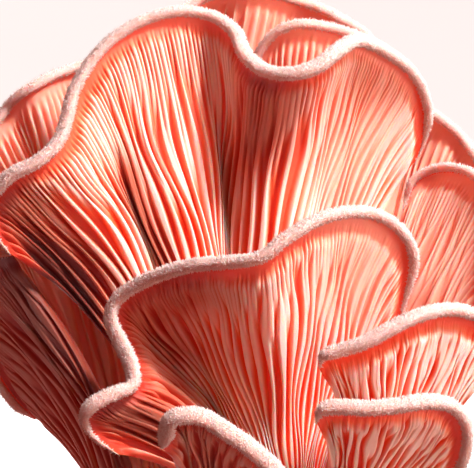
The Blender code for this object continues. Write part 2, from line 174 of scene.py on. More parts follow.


# foot: where the stem stands. radii: its half widths. lean: the stem's direction. flare: how far the
# margin arrives leaning towards the gilled side, at even places across the fan. pleats: places across,
# from 0 to 1, and depths of folds down the fan. turn: the way the gills face. gills: ridges across the
# fan. felt: hairs in a square millimetre. margin: from the left end of the fan over the top to the right
# end. Painted shade: spots where the flesh is coloured redder and darker, down to near black, in place of
# the shade in folds, under overhanging margins and over whole fans that sit in shade. Painted light wash:
# how pale and flat the gills are all over, from 0 to 1, in place of strong light washing them out, and its
# spots: where they are more so. A spot is a place across, a half width, a lowest and a highest step from 0
# at the foot to 1 at the margin, and a strength.
MUSHROOMS = {
    "back_large": {
        # Painted shade: spots on the dip's wall, in the valley, at the far left end and low on the right
        "painted_shade": (
            (0.57, 0.06, 0.68, 1.3, 1.4), (0.52, 0.05, 0.5, 0.85, 0.7), (0.245, 0.04, 0.45, 0.9, 1.45),
            (0.04, 0.07, 0.5, 1.3, 1.4), (0.0, 0.04, 0.3, 0.95, 1.2), (0.84, 0.08, 0.45, 0.8, 0.3),
        ),
        # Painted light wash: paler, flatter gills in two spots, in place of strong light
        "painted_light_wash_spots": ((0.8, 0.12, 0.55, 1.3, 0.8), (0.4, 0.09, 0.6, 1.3, 0.3)),
        "foot": (0.0, 3.0), "radii": (6.0, 3.4), "lean": (0.0, 0.12, 1.0),
        "flare": (1.2, 0.8, 0.3, 0.2, 0.5, 1.1, 0.9, 0.6, 0.5),
        "pleats": ((0.22, -1.0), (0.31, 1.1), (0.48, -1.2), (0.63, 1.0)),
        "gills": 144, "felt": 26,
        "margin": [
            (-34, -3.4, 58.6), (-36.4, -4.8, 62.2), (-36.7, -6, 66.5), (-33.8, -7, 70.2),
            (-29.8, -7, 72.2), (-26.9, -5.6, 74.9), (-25.7, -3.8, 78.2), (-24.5, -1.8, 82.9),
            (-20.8, 0.2, 88.7), (-15.6, 1.8, 92.8), (-9.5, 3.2, 94.9), (-3.8, 4.0, 94.5),
            (-0.1, 2.8, 92.2), (1.6, 0.8, 88.6), (4.6, -2.2, 86), (8.1, -4.8, 85.5), (11.6, -5, 86.6),
            (14.4, -3, 88.9), (17.5, 1, 90.8), (22, 6, 89.7), (26.4, 10.8, 86.8), (29, 16, 82.5),
            (29.5, 20, 76.5), (28.4, 21, 73),
        ],
    },
    "front_middle": {
        # Painted shade: spots over the left part and its lobe, under the overhanging margin
        "painted_shade": (
            (0.3, 0.13, 0.55, 1.3, 0.95), (0.45, 0.1, 0.75, 1.3, 0.8), (0.08, 0.1, 0.5, 1.3, 1.5),
        ),
        # Painted light wash: paler, flatter gills on the right, in place of strong light
        "painted_light_wash_spots": ((0.82, 0.13, 0.6, 1.3, 0.8),),
        "foot": (6.0, -8.0), "radii": (5.0, 3.2), "lean": (0.0, 0.1, 1.0),
        "flare": (1.0, 0.7, 1.0, 1.0, 0.5, 0.1, 0.1, 0.2, 0.3),
        "gills": 120, "felt": 26,
        "margin": [
            (-17.5, -14.6, 29.8), (-21, -15.3, 32.4), (-22.4, -16, 35.2), (-21.2, -17, 37.4),
            (-18.3, -16.6, 38.8), (-15.9, -15, 39.4), (-15.5, -13.6, 40.8), (-16.1, -11.2, 42.7),
            (-17.5, -8.8, 45.3), (-19, -7, 48.7), (-18.3, -6.6, 51.7), (-15.5, -7.8, 54),
            (-11.2, -10.6, 56), (-6, -14.2, 57.3), (-0.7, -17.4, 57.7), (3.5, -19.2, 58.4),
            (6.8, -18.8, 61), (10.9, -17, 63.4), (15.5, -14.6, 64.6), (19.9, -12, 64.2),
            (23.4, -9.6, 62), (25.3, -7.4, 58.4), (24.9, -6, 53.5), (24, -5, 48.5),
        ],
    },
    "right_upper": {
        "foot": (18.0, -8.5), "radii": (4.0, 2.8), "lean": (0.35, -0.25, 1.0), "flare": (0.3,),
        "gills": 66, "felt": 26,
        "margin": [
            (11.6, -20.9, 42.6), (12.3, -21.5, 44.6), (14.8, -22, 45.5), (18, -22.5, 46.6),
            (21.4, -22, 48.4), (24.6, -21, 49.9), (28.3, -19, 50.8), (32, -17, 50.6), (35.2, -14, 48.9),
            (37.3, -12, 45), (37, -11.4, 41),
        ],
    },
    "right_lower": {
        "foot": (15.0, -16.0), "radii": (3.6, 2.4), "lean": (0.3, -0.45, 1.0), "flare": (0.3,),
        "gills": 54, "felt": 26,
        "margin": [
            (10.9, -29.6, 35.8), (11.8, -30.8, 37.9), (14.4, -31.5, 38.3), (18, -32, 38.2),
            (21.9, -31.5, 38.5), (25.6, -30, 38.9), (29.3, -27, 38.1), (31.7, -24, 35.1),
            (31.6, -21, 30), (29.5, -19.8, 26.5),
        ],
    },
    "front_left": {
        # Painted shade over most of the fan
        "painted_shade": ((0.3, 0.5, -1.0, 2.0, 1.0),),
        "foot": (-2.0, -17.0), "radii": (3.6, 2.4), "lean": (0.0, -0.5, 1.0), "flare": (1.2,),
        "gills": 44, "felt": 28,
        "margin": [
            (-10.3, -31.4, 32.4), (-9.4, -33.8, 36.6), (-6.9, -34.5, 37.6), (-4.2, -34, 37.2),
            (-1.2, -33, 35.3), (2, -32, 33), (5.8, -31, 29.5), (7.7, -28.2, 25.5), (6.8, -25.5, 22.8),
        ],
    },
    "left": {
        # Painted shade over the whole fan, and more on its right side edge, in place of the hollow's shade
        "painted_shade": ((0.5, 2.0, -1.0, 2.0, 1.1), (1.0, 0.3, -1.0, 2.0, 0.8)),
        "foot": (-15.5, 1.5), "radii": (4.0, 2.6), "lean": (-0.25, 0.15, 1.0), "flare": (0.3,),
        "gills": 40, "felt": 10, "turn": -50,
        "margin": [
            (-31.6, 11, 33), (-35, 11.4, 37), (-38, 10.8, 42), (-39.8, 9.4, 48), (-39.5, 6.6, 54),
            (-37.3, 4.2, 58), (-34.3, 3.2, 58.5),
        ],
    },
    "left_back": {
        "foot": (-13.5, 10.5), "radii": (4.0, 2.6), "lean": (-0.2, 0.15, 1.0), "flare": (0.4,),
        # Painted light wash: paler, flatter gills all over, in place of strong light
        "gills": 36, "felt": 10, "painted_light_wash": 0.7,
        "margin": [
            (-36.4, 16.5, 57), (-39.2, 15.4, 62.5), (-40.2, 13.5, 69), (-39.5, 10.5, 75.6),
            (-35.7, 11.5, 80.9), (-32, 10, 84), (-27.6, 14, 86.6), (-22.4, 17, 88), (-17.8, 19, 85.4),
            (-15.6, 19.5, 79),
        ],
    },
    "right_back": {
        # Painted shade over the lower part of the fan
        "painted_shade": ((0.4, 1.0, -1.0, 0.75, 0.8),),
        "foot": (19.0, 5.0), "radii": (4.0, 2.6), "lean": (0.1, 0.1, 1.0), "flare": (0.4,),
        # Painted light wash: paler, flatter gills all over, in place of strong light
        "gills": 32, "felt": 10, "painted_light_wash": 0.7,
        "margin": [
            (26.8, 22.6, 65.5), (28, 23.2, 68.2), (30, 22.8, 70.3), (32.5, 21.5, 71.2), (35, 18, 71.2),
            (37.3, 14.5, 70.3), (39.1, 10, 67.9), (39.9, 7, 62.4), (38.9, 4, 55.5), (37.2, 3.3, 50),
        ],
    },
    "right_far": {
        "foot": (15.0, 14.0), "radii": (3.6, 2.4), "lean": (0.15, 0.3, 1.0), "flare": (0.4,),
        # Painted light wash: paler, flatter gills all over, in place of strong light
        "gills": 32, "felt": 10, "painted_light_wash": 0.7,
        "margin": [
            (16.5, 35.5, 63), (17.5, 37, 69), (20, 38, 75.5), (24.5, 37, 82), (27.5, 34, 83.2),
            (31.3, 35, 81.7), (34.4, 31, 79.3), (37.4, 30, 76.2), (39.8, 26.5, 72.1), (40.5, 25.5, 65.5),
            (39.2, 23.5, 57.5),
        ],
    },
    "top_right": {
        "foot": (4.0, 13.5), "radii": (3.6, 2.4), "lean": (0.0, 0.12, 1.0), "flare": (0.4,),
        # Painted light wash: paler, flatter gills all over, in place of strong light
        "gills": 32, "felt": 10, "painted_light_wash": 0.7,
        "margin": [
            (-0.2, 20.6, 76), (1.1, 20.4, 82.5), (3.4, 19.4, 89), (6, 18, 92.7), (9.6, 17, 94.4),
            (14.4, 18, 94), (18.2, 19.5, 93), (22.9, 22, 91), (25, 24, 88), (25, 26.5, 82),
            (23, 26.8, 76),
        ],
    },
    "top_far": {
        "foot": (-6.0, 15.5), "radii": (3.8, 2.6), "lean": (0.0, 0.3, 1.0), "flare": (0.4,),
        # Painted light wash: paler, flatter gills all over, in place of strong light
        "gills": 40, "felt": 10, "painted_light_wash": 0.7,
        "margin": [
            (-20.8, 29.3, 70), (-20, 28.5, 79), (-17.6, 25.5, 87.5), (-13, 23.5, 94.5), (-6, 26.5, 99),
            (2, 23.5, 100.5), (10, 27, 99), (16, 26, 96.5), (21.8, 30.5, 92.5), (22.5, 34, 86),
            (20, 34.2, 79),
        ],
    },
    "rear_left": {
        "foot": (-12.0, 20.0), "radii": (3.6, 2.4), "lean": (-0.25, 0.6, 1.0), "flare": (0.5,),
        "gills": 36, "felt": 10, "turn": 212,
        "margin": fan_margin(
            (-12.0, 20.0), 212, top=78, width=42, out=25, ruffle=2.4, waves=4.5, phase=0.6
        ),
    },
    "rear_right": {
        "foot": (10.5, 20.5), "radii": (3.6, 2.4), "lean": (0.25, 0.65, 1.0), "flare": (0.5,),
        "gills": 34, "felt": 10, "turn": 164,
        "margin": fan_margin(
            (10.5, 20.5), 164, top=70, width=35, out=28, ruffle=2.0, waves=4.0, phase=2.2
        ),
    },
    "rear_low": {
        "foot": (-1.5, 23.5), "radii": (3.0, 2.2), "lean": (0.0, 1.0, 1.0), "flare": (0.4,),
        "gills": 26, "felt": 10, "turn": 182,
        "margin": fan_margin(
            (-1.5, 23.5), 182, top=43, width=25, out=29, ruffle=1.6, waves=3.5, phase=4.0
        ),
    },
}

# The base: rings of height and share of the radii, and the collars where the stems grow out of it
BASE_RADII = (27.0, 29.0)
BASE_SIDES = 64
BASE_RINGS = ((0.0, 0.84), (2.5, 0.95), (6.0, 1.0), (9.5, 0.95), (12.0, 0.84), (13.4, 0.62))
BASE_LUMP = 2.6
LUMPS_AROUND = 2.2
LUMPS_UP = 0.09
COLLAR_HEIGHT = 7.0
COLLAR_WIDER = 1.9
COLLAR_MIDDLE = 12.0
COLLAR_NARROWS = 0.25
COLLAR_SIDES = 20
COLLAR_RINGS = 12
BASE_VOXEL = 0.8
BASE_SMOOTHINGS = 9
BASE_SMOOTHER = 0.6
RIPPLE_SCALE = 0.45
RIPPLE_HEIGHT = 0.35
FIBRE_SCALE = (1.6, 1.6, 0.4)
FIBRE_HEIGHT = 0.16

# The floor, in metres: how far it is flat, and the bend into the wall around it
FLOOR_SIDES = 96
FLOOR_INNER = 0.4
FLOOR_FLAT = 0.9
WALL_BEND = 0.4
WALL_TOP = 1.6
BEND_ANGLES = (10, 90, 9)

# Lights, in metres and watts: high on the right in front, low on the right, and behind
LIGHTS = {
    "key": {
        "place": (0.27, -0.25, 0.45), "aim": (0.0, 0.0, 0.06), "energy": 6.6, "size": 0.1,
        "colour": (1.0, 0.97, 0.95),
    },
    "fill": {
        "place": (0.42, -0.28, 0.06), "aim": (0.02, -0.02, 0.05), "energy": 1.6, "size": 0.2,
        "colour": (1.0, 0.75, 0.65),
    },
    "rear": {
        "place": (-0.10, 0.42, 0.45), "aim": (0.0, 0.02, 0.05), "energy": 2.0, "size": 0.25,
        "colour": (1.0, 0.97, 0.95),
    },
}
SURROUNDING = (1.0, 0.15, 0.05, 1.0)
SURROUNDING_STRENGTH = 0.26

# Colours of the flesh. Ramps give a place from 0 to 1 and the colour there.
# From groove to gill edge: the grooves darker and redder, partly the flesh's own colour and partly painted
# shade in the grooves
GILL_COLOURS_AND_GROOVE_SHADE = (
    (0.0, (0.86, 0.07, 0.01)), (0.35, (0.89, 0.17, 0.05)),
    (0.65, (0.93, 0.45, 0.34)), (0.9, (0.94, 0.74, 0.68)),
)
# Painted shade: the spots multiply the flesh colour redder and darker, down to near black
PAINTED_SHADE_COLOURS = ((0.0, (1, 1, 1)), (0.5, (0.62, 0.24, 0.16)), (1.0, (0.16, 0.025, 0.012)))
PATCH_COLOUR = (0.90, 0.45, 0.34)
# Painted light wash: the paler coral that takes the place of the grooves' red where light washes the gills
# out
PAINTED_LIGHT_WASH_COLOUR = (0.93, 0.47, 0.36)
BACK_COLOURS = ((0.3, (0.78, 0.30, 0.24)), (0.7, (0.88, 0.48, 0.41)))
STEM_COLOUR = (0.93, 0.70, 0.64)
RIM_COLOUR = (0.68, 0.42, 0.37)
FELT_COLOURS = ((0.3, (0.68, 0.48, 0.44)), (0.7, (0.82, 0.68, 0.65)))
BASE_COLOURS = ((0.3, (0.70, 0.40, 0.32)), (0.65, (0.80, 0.58, 0.50)))
FIBRE_COLOUR = (0.84, 0.70, 0.64)
FLOOR_COLOURS = ((0.3, (0.60, 0.595, 0.59)), (0.7, (0.62, 0.615, 0.61)))


def smooth(t):
    t = np.clip(t, 0.0, 1.0)
    return t * t * (3 - 2 * t)


def unit(v):
    return v / np.maximum(np.linalg.norm(v, axis=-1, keepdims=True), 1e-9)


def soften(field, rounds):
    """Averages each column with its neighbours, so many times over."""
    for _ in range(rounds):
        padded = np.concatenate([field[:1], field, field[-1:]])
        field = (padded[:-2] + 2 * field + padded[2:]) / 4
    return field


def margin_curve(points):
    """A smooth curve through the margin's points (Catmull-Rom)."""
    p = np.array(points, float)
    p = np.vstack([2 * p[0] - p[1], p, 2 * p[-1] - p[-2]])
    t = np.linspace(0, 1, SPLINE_STEPS, endpoint=False)[:, None]
    spans = [
        0.5 * (2 * b + (c - a) * t + (2 * a - 5 * b + 4 * c - d) * t**2 + (3 * b - a - 3 * c + d) * t**3)
        for a, b, c, d in zip(p, p[1:], p[2:], p[3:])
    ]
    return np.vstack([*spans, p[-2:-1]])


def stations(curve, foot, at):
    """Points along the margin, evenly spaced across the fan, wider apart where the margin runs along it."""
    step = np.diff(curve, axis=0)
    radial = unit((curve[1:] + curve[:-1]) / 2 - foot)
    sideways = step - radial * np.sum(step * radial, axis=1, keepdims=True)
    weight = np.linalg.norm(sideways, axis=1) + RADIAL_SHARE * np.linalg.norm(step, axis=1)
    run = np.concatenate([[0], np.cumsum(weight)]) / weight.sum()
    return np.stack([np.interp(at, run, curve[:, k]) for k in range(3)], axis=1)


def middle_sheet(spec, at, steps):
    """The fan's middle surface at these places across and these steps from the foot to the margin."""
    side, front = facing(spec.get("turn", 0.0))
    foot = np.array([*spec["foot"], FOOT_TOP])
    lean = unit(np.array(spec["lean"]))
    across = -np.cos(math.pi * at)[:, None]
    edge = stations(margin_curve(spec["margin"]), foot, at)
    start = foot + across * side * spec["radii"][0]
    edge = edge - unit(edge - start) * MARGIN_INSET
    flare = np.interp(at, np.linspace(0, 1, len(spec["flare"])), spec["flare"])[:, None]
    length = np.linalg.norm(edge - start, axis=1)[:, None]
    stem = start + lean * length * STEM_SHARE
    hub = foot + lean * length * STEM_SHARE
    arrival = unit(unit(edge - hub) + front * flare)
    neck = edge - arrival * length * MARGIN_SHARE
    t = steps[None, :, None]
    s = 1 - t
    folds = np.zeros(len(at))
    for place, depth in spec.get("pleats", ()):
        folds = folds + depth * np.exp(-(((at - place) / PLEAT_WIDTH) ** 2))
    folds = folds[:, None, None] * front * smooth(t / PLEATS_FROM) * smooth(s / PLEATS_TO)
    return (
        s**3 * start[:, None]
        + 3 * s * s * t * stem[:, None]
        + 3 * s * t * t * neck[:, None]
        + t**3 * edge[:, None]
        + folds
    )


def across_grid(field, at):
    """Reads a field known on an even grid of columns at any places across."""
    place = np.clip(at, 0, 1) * (len(field) - 1)
    low = np.minimum(place.astype(int), len(field) - 2)
    share = (place - low).reshape(-1, *[1] * (field.ndim - 1))
    return field[low] * (1 - share) + field[low + 1] * share


def shape_field(spec, steps):
    """The sheet's facing and the room in front of it, worked out on an even grid of columns."""
    front = facing(spec.get("turn", 0.0))[1]
    mid = middle_sheet(spec, np.linspace(0, 1, SMOOTH_COLUMNS), steps)
    normal = unit(np.cross(np.gradient(mid, axis=0), np.gradient(mid, axis=1)))
    fan = smooth(steps / STEM_ENDS)[None, :, None]
    normal = unit(soften(front * (1 - fan) + normal * fan, NORMAL_ROUNDS))
    across = np.gradient(mid, axis=0)
    closing = -np.sum(across * np.gradient(normal, axis=0), axis=2) / np.sum(across * across, axis=2)
    room = HOLLOW_SHARE / np.maximum(closing, 1 / MOST_ROOM)
    thin = slice(None, None, 4)
    apart = np.linalg.norm(mid[:, None] - mid[None, thin], axis=3)
    room = np.min(room[None, thin] + PLEAT_OPENING * apart, axis=1)
    out = unit(soften(np.cross(normal[:, -1], np.gradient(mid[:, -1], axis=0)), NORMAL_ROUNDS))
    return normal, room, out


def gill_heights(spec, steps, spacing, length, rng):
    """How high each point stands between the groove, 0, and a gill's edge, 1. Every third gill runs down
    to the stem, and the others start partway up the fan."""
    gills = spec["gills"]
    number = np.arange(gills)
    order = number % GILL_LENGTHS
    starts = np.array(GILL_STARTS)[order] + rng.uniform(-1, 1, gills) * np.array(START_SPREAD)[order]
    rises = np.array(GILL_RISES_OVER)[order]
    crown = number * COLUMNS_PER_GILL + COLUMNS_PER_GILL // 2
    reach = length[crown]
    ends = 1 - (BARE_BAND + rng.uniform(-1, 1, gills) * BAND_SPREAD) / reach
    fades = GILL_FADES_OVER / reach
    strength = rng.uniform(*GILL_STRENGTH, gills)
    beats = rng.uniform(*BREADTH_BEATS, (gills, 1))
    shifts = rng.uniform(0, 2 * math.pi, (gills, 1))
    breadth = 1 + BREADTH_VARIES * np.sin(beats * math.pi * steps + shifts)
    life = smooth((steps - starts[:, None]) / rises[:, None])
    life = life * smooth((ends[:, None] - steps) / fades[:, None])
    life *= strength[:, None]
    column = np.arange(len(spacing))
    own = np.minimum(column // COLUMNS_PER_GILL, gills - 1)
    wider = 1 + WIDER_BELOW * (1 - steps)[None, :]
    wider = np.minimum(wider, ROOM_SHARE * spacing * COLUMNS_PER_GILL * GILL_LENGTHS / FOOT_HALF)
    height = np.zeros(spacing.shape)
    for offset in range(-NEIGHBOURS, NEIGHBOURS + 1):
        other = np.clip(own + offset, 0, gills - 1)
        away = np.abs(column - crown[other])[:, None] * spacing
        blade = 1 - smooth((away / (wider * breadth[other]) - EDGE_HALF) / (FOOT_HALF - EDGE_HALF))
        height = np.maximum(height, blade * life[other])
    return height


def gill_sway(spec, steps, spacing, length, rng):
    """Sideways wandering of each gill, in millimetres, greatest on its edge."""
    gills = spec["gills"]
    phase = rng.uniform(0, 2 * math.pi, (WOBBLES, gills, 1))
    waves = rng.uniform(*WOBBLE_WAVES, (WOBBLES, gills, 1))
    wander = np.sum(np.sin(waves * math.pi * steps + phase) / (1 + waves / 2), axis=0)
    column = np.arange(len(spacing))
    own = np.minimum(column // COLUMNS_PER_GILL, gills - 1)
    from_crown = np.abs(column % COLUMNS_PER_GILL - COLUMNS_PER_GILL / 2)
    share = 1 - from_crown / (COLUMNS_PER_GILL / 2)
    limit = np.minimum(GILL_WOBBLE, spacing * WOBBLE_PER_SPACING)
    own_sway = wander[own] * share[:, None] * limit
    at = np.linspace(0, 1, len(spacing))[:, None]
    turns = rng.uniform(0, 2 * math.pi, len(FAN_WAVES))
    together = np.zeros(spacing.shape)
    for (on_width, on_length, strength), turn in zip(FAN_WAVES, turns):
        together += strength * np.sin(on_width * at + on_length * steps + turn)
    from_side = np.minimum(at, 1 - at)
    together *= FAN_WAVE * length[:, None] * smooth(from_side / WAVES_FROM_SIDE)
    together *= smooth(steps / WAVES_FROM_FOOT)
    return (own_sway + together) * smooth((1 - steps) / SWAY_ENDS)


def spots_field(spots, at, steps):
    """A sum of soft spots: place across, half width, lowest and highest step, and strength."""
    field = np.zeros((len(at), len(steps)))
    for place, width, low, high, strength in spots:
        across = np.exp(-(((at - place) / width) ** 2))[:, None]
        along = smooth((steps - low) / SPOTS_SPREAD) * smooth((high - steps) / SPOTS_SPREAD)
        field += strength * across * along
    return field


def rolled_margin(centre, out, inward, from_side, rim, finer):
    """Middles, facings and half thicknesses of the rows along the roll and the rounded lip that ends it."""
    curl = ROLL_ANGLE * (END_CURL + (1 - END_CURL) * smooth(from_side / CURLS_OVER))
    rolls = []
    for k in range(1, ROLL_ROWS + 1):
        a = curl * k / ROLL_ROWS
        spot = centre + ROLL_RADIUS * finer * (np.sin(a) * out + (1 - np.cos(a)) * inward)
        rolls.append((spot, np.cos(a) * inward - np.sin(a) * out, rim))
    spot, turned, _ = rolls[-1]
    onward = np.cos(curl) * out + np.sin(curl) * inward
    for k in range(1, LIP_ROWS + 1):
        b = math.pi / 2 * k / LIP_ROWS
        rolls.append((spot + onward * rim * math.sin(b), turned, rim * math.cos(b)))
    return rolls


def over_all_rows(field, on_roll=0.0):
    """A field known on the fan's own rows, carried down into the base and on over the roll."""
    roll = np.broadcast_to(on_roll, (len(field), ROLL_ROWS + LIP_ROWS))
    return np.concatenate([field[:, :1], field, roll], axis=1)


def material_fields(spec, at, steps, length, height, painted_light_wash):
    """What the material reads on the gilled and on the smooth side: height up a gill, paleness, which side
    it is, place between foot and margin, painted shade, and how far the painted light wash pales the gills."""
    none = np.zeros((len(at), len(steps)))
    nowhere = over_all_rows(none)
    pale_roll = smooth((np.linspace(0, 1, ROLL_ROWS + LIP_ROWS) - PALE_FROM) / PALE_OVER)
    pale_back = smooth(1 + (steps - 1)[None, :] * length[:, None] / PALE_BACK_OVER)
    stretch = over_all_rows(none + steps, 1.0)
    # Painted shade: spots where the flesh is coloured darker in place of shade
    painted_shade_spots = np.clip(spots_field(spec.get("painted_shade", ()), at, steps), 0, MOST_PAINTED_SHADE) / MOST_PAINTED_SHADE
    painted_shade_spots = over_all_rows(painted_shade_spots)
    return {
        "gill": (over_all_rows(height), nowhere),
        "pale": (over_all_rows(none, pale_roll), over_all_rows(pale_back, 1.0)),
        "top": (nowhere, nowhere + 1),
        "stretch": (stretch, stretch),
        "painted_shade": (painted_shade_spots, painted_shade_spots),
        "painted_light_wash": (over_all_rows(painted_light_wash), nowhere),
    }


def fan_surfaces(spec, rng):
    """The gilled and the smooth surface of one mushroom, from the sunk foot to the lip, with what its
    material reads."""
    count = spec["gills"] * COLUMNS_PER_GILL + 1
    at = np.linspace(0, 1, count)
    steps = 1 - (1 - np.linspace(0, 1, FAN_ROWS)) ** MARGIN_CROWDING
    mid = middle_sheet(spec, at, steps)
    grid_normal, grid_room, grid_out = shape_field(spec, steps)
    normal = unit(across_grid(grid_normal, at))
    room = across_grid(grid_room, at)
    out = unit(across_grid(grid_out, at))
    length = np.linalg.norm(mid[:, -1] - mid[:, 0], axis=1)
    sideways = np.gradient(mid, axis=0)
    along = np.gradient(mid, axis=1)
    spacing = np.linalg.norm(np.cross(sideways, along), axis=2) / np.linalg.norm(along, axis=2)

    height = gill_heights(spec, steps, spacing, length, rng)
    # Painted light wash: paler, flatter gills in place of strong light washing them out
    painted_light_wash = spec.get("painted_light_wash", 0.0) + spots_field(spec.get("painted_light_wash_spots", ()), at, steps)
    painted_light_wash = np.clip(painted_light_wash, 0, 1)
    depth = GILL_DEPTH * (DEPTH_BELOW - DEPTH_LOSS * steps)[None, :] * (1 - PAINTED_LIGHT_WASH_FLATTER * painted_light_wash)
    depth = np.minimum(depth, spacing * COLUMNS_PER_GILL * DEPTH_PER_SPACING)
    sway = gill_sway(spec, steps, spacing, length, rng)

    rounding = np.sin(math.pi * at)[:, None]
    taper = np.clip(rounding * SIDE_ROUNDING, 0, 1) ** 0.5
    body = smooth(steps / BODY_ENDS)[None, :]
    slim = smooth((steps - BODY_ENDS) / (1 - BODY_ENDS))[None, :]
    from_side = np.minimum(at, 1 - at)[:, None]
    finer = END_SHARE + (1 - END_SHARE) * smooth(from_side / END_TAPERS_OVER)
    half = SHEET_THICKNESS + (RIM_THICKNESS * finer - SHEET_THICKNESS) * slim
    thick = spec["radii"][1] * rounding * (1 - body) + half / 2 * body * taper

    shift = unit(sideways) * sway[..., None]
    gilled = mid + shift + normal * np.minimum(thick + height * depth, room)[..., None]
    plain = mid - normal * thick[..., None]

    rim = RIM_THICKNESS / 2 * taper * finer
    rolls = rolled_margin(mid[:, -1], out, normal[:, -1], from_side, rim, finer)
    gilled = np.concatenate([gilled] + [(s + n * r)[:, None] for s, n, r in rolls], axis=1)
    plain = np.concatenate([plain] + [(s - n * r)[:, None] for s, n, r in rolls], axis=1)

    # Down into the base
    sunk = np.array([0, 0, FOOT_DEPTH])
    gilled = np.concatenate([gilled[:, :1] - sunk, gilled], axis=1)
    plain = np.concatenate([plain[:, :1] - sunk, plain], axis=1)
    plain[0], plain[-1] = gilled[0], gilled[-1]
    return gilled, plain, material_fields(spec, at, steps, length, height, painted_light_wash)


def grid_faces(index):
    """Four-cornered faces between the neighbours in an array of vertex numbers."""
    corners = (index[:-1, :-1], index[1:, :-1], index[1:, 1:], index[:-1, 1:])
    return np.stack(corners, axis=-1).reshape(-1, 4).tolist()


def new_mesh(name, points, faces):
    mesh = bpy.data.meshes.new(name)
    mesh.from_pydata((points * MM).tolist(), [], faces)
    mesh.shade_smooth()
    return mesh


def add_piece(name, mesh, material):
    piece = bpy.data.objects.new(name, mesh)
    piece.data.materials.append(material)
    bpy.context.scene.collection.objects.link(piece)
    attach(piece, "root")
    return piece


def add_mushroom(name, spec, material, rng):
    """One mushroom: its gilled and smooth surfaces, sewn together at the sides and the lip."""
    gilled, plain, fields = fan_surfaces(spec, rng)
    count, rows = gilled.shape[:2]
    gill_index = np.arange(count * rows).reshape(count, rows)
    back = plain[::COLUMNS_PER_GILL, :-1]
    back_index = np.arange(back.shape[0] * back.shape[1]).reshape(back.shape[:2]) + count * rows
    back_index[0] = gill_index[0, :-1]
    back_index[-1] = gill_index[-1, :-1]
    points = np.concatenate([gilled.reshape(-1, 3), back.reshape(-1, 3)])
    faces = grid_faces(gill_index) + [face[::-1] for face in grid_faces(back_index)]
    for k in range(len(back_index) - 1):
        lip = gill_index[k * COLUMNS_PER_GILL : (k + 1) * COLUMNS_PER_GILL + 1, -1].tolist()
        faces.append([back_index[k, -1], *lip, back_index[k + 1, -1]])
    faces = [[int(v) for v in dict.fromkeys(face)] for face in faces]
    mesh = new_mesh(name, points, faces)
    for title, (on_gills, on_back) in fields.items():
        values = np.concatenate([on_gills.ravel(), on_back[::COLUMNS_PER_GILL, :-1].ravel()])
        attribute = mesh.attributes.new(title, "FLOAT", "POINT")
        attribute.data.foreach_set("value", values.astype(np.float32))
    piece = add_piece(name, mesh, material)
    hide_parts("mushroom_" + name)
    return gilled, plain


def add_felt(name, spec, gilled, plain, material, rng):
    """Short hairs on the rolled margin: three-sided spikes, strewn evenly over the outside of the roll."""
    rolled = 1 + FAN_ROWS - FELT_ROWS_BELOW
    strip = np.concatenate([plain[:, rolled:-1], gilled[:, : -FELT_ROWS_ROUND - 1 : -1]], axis=1)
    strip = strip[:: COLUMNS_PER_GILL // 2]
    corner, right = strip[:-1, :-1].reshape(-1, 3), strip[1:, :-1].reshape(-1, 3)
    above, far = strip[:-1, 1:].reshape(-1, 3), strip[1:, 1:].reshape(-1, 3)
    facing_out = np.cross(above - right, far - corner)
    area = np.linalg.norm(facing_out, axis=1) / 2
    count = int(area.sum() * spec["felt"])
    cell = rng.choice(len(area), count, p=area / area.sum())
    u, v = rng.uniform(0, 1, (2, count, 1))
    below = corner[cell] * (1 - u) + right[cell] * u
    beyond = above[cell] * (1 - u) + far[cell] * u
    root = below * (1 - v) + beyond * v
    normal = unit(facing_out[cell])
    direction = unit(normal + FELT_SPREAD * rng.normal(size=(count, 3)))
    tip = root + direction * rng.uniform(*FELT_LENGTH, (count, 1))
    first = unit(np.cross(direction, rng.normal(size=(count, 3))))
    second = np.cross(direction, first)
    ring = []
    for k in range(3):
        a = 2 * math.pi * k / 3
        around = FELT_RADIUS * (math.cos(a) * first + math.sin(a) * second)
        ring.append(root - normal * FELT_ROOT + around)
    points = np.stack([*ring, tip], axis=1).reshape(-1, 3)
    start = np.arange(count)[:, None] * 4
    faces = np.concatenate([start + [0, 1, 3], start + [1, 2, 3], start + [2, 0, 3]]).tolist()
    add_piece(name + "_felt", new_mesh(name + "_felt", points, faces), material)


def lumpy_body():
    """The base's lump: rings of a cone swollen into lumps, above the flat cut face."""
    bm = bmesh.new()
    rings = []
    for height, share in BASE_RINGS:
        made = bmesh.ops.create_circle(bm, segments=BASE_SIDES, radius=1.0)["verts"]
        for v in made:
            around = Vector((v.co.x, v.co.y, 0.0))
            lump = noise.noise(around * LUMPS_AROUND + Vector((0, 0, height * LUMPS_UP))) * BASE_LUMP
            swell = share + lump / BASE_RADII[0]
            v.co = (around.x * swell * BASE_RADII[0], around.y * swell * BASE_RADII[1], height)
        rings.append(made)
    for low, high in zip(rings, rings[1:]):
        for i in range(BASE_SIDES):
            k = (i + 1) % BASE_SIDES
            bm.faces.new((low[i], low[k], high[k], high[i]))
    bm.faces.new(rings[0][::-1])
    bm.faces.new(rings[-1])
    return bm


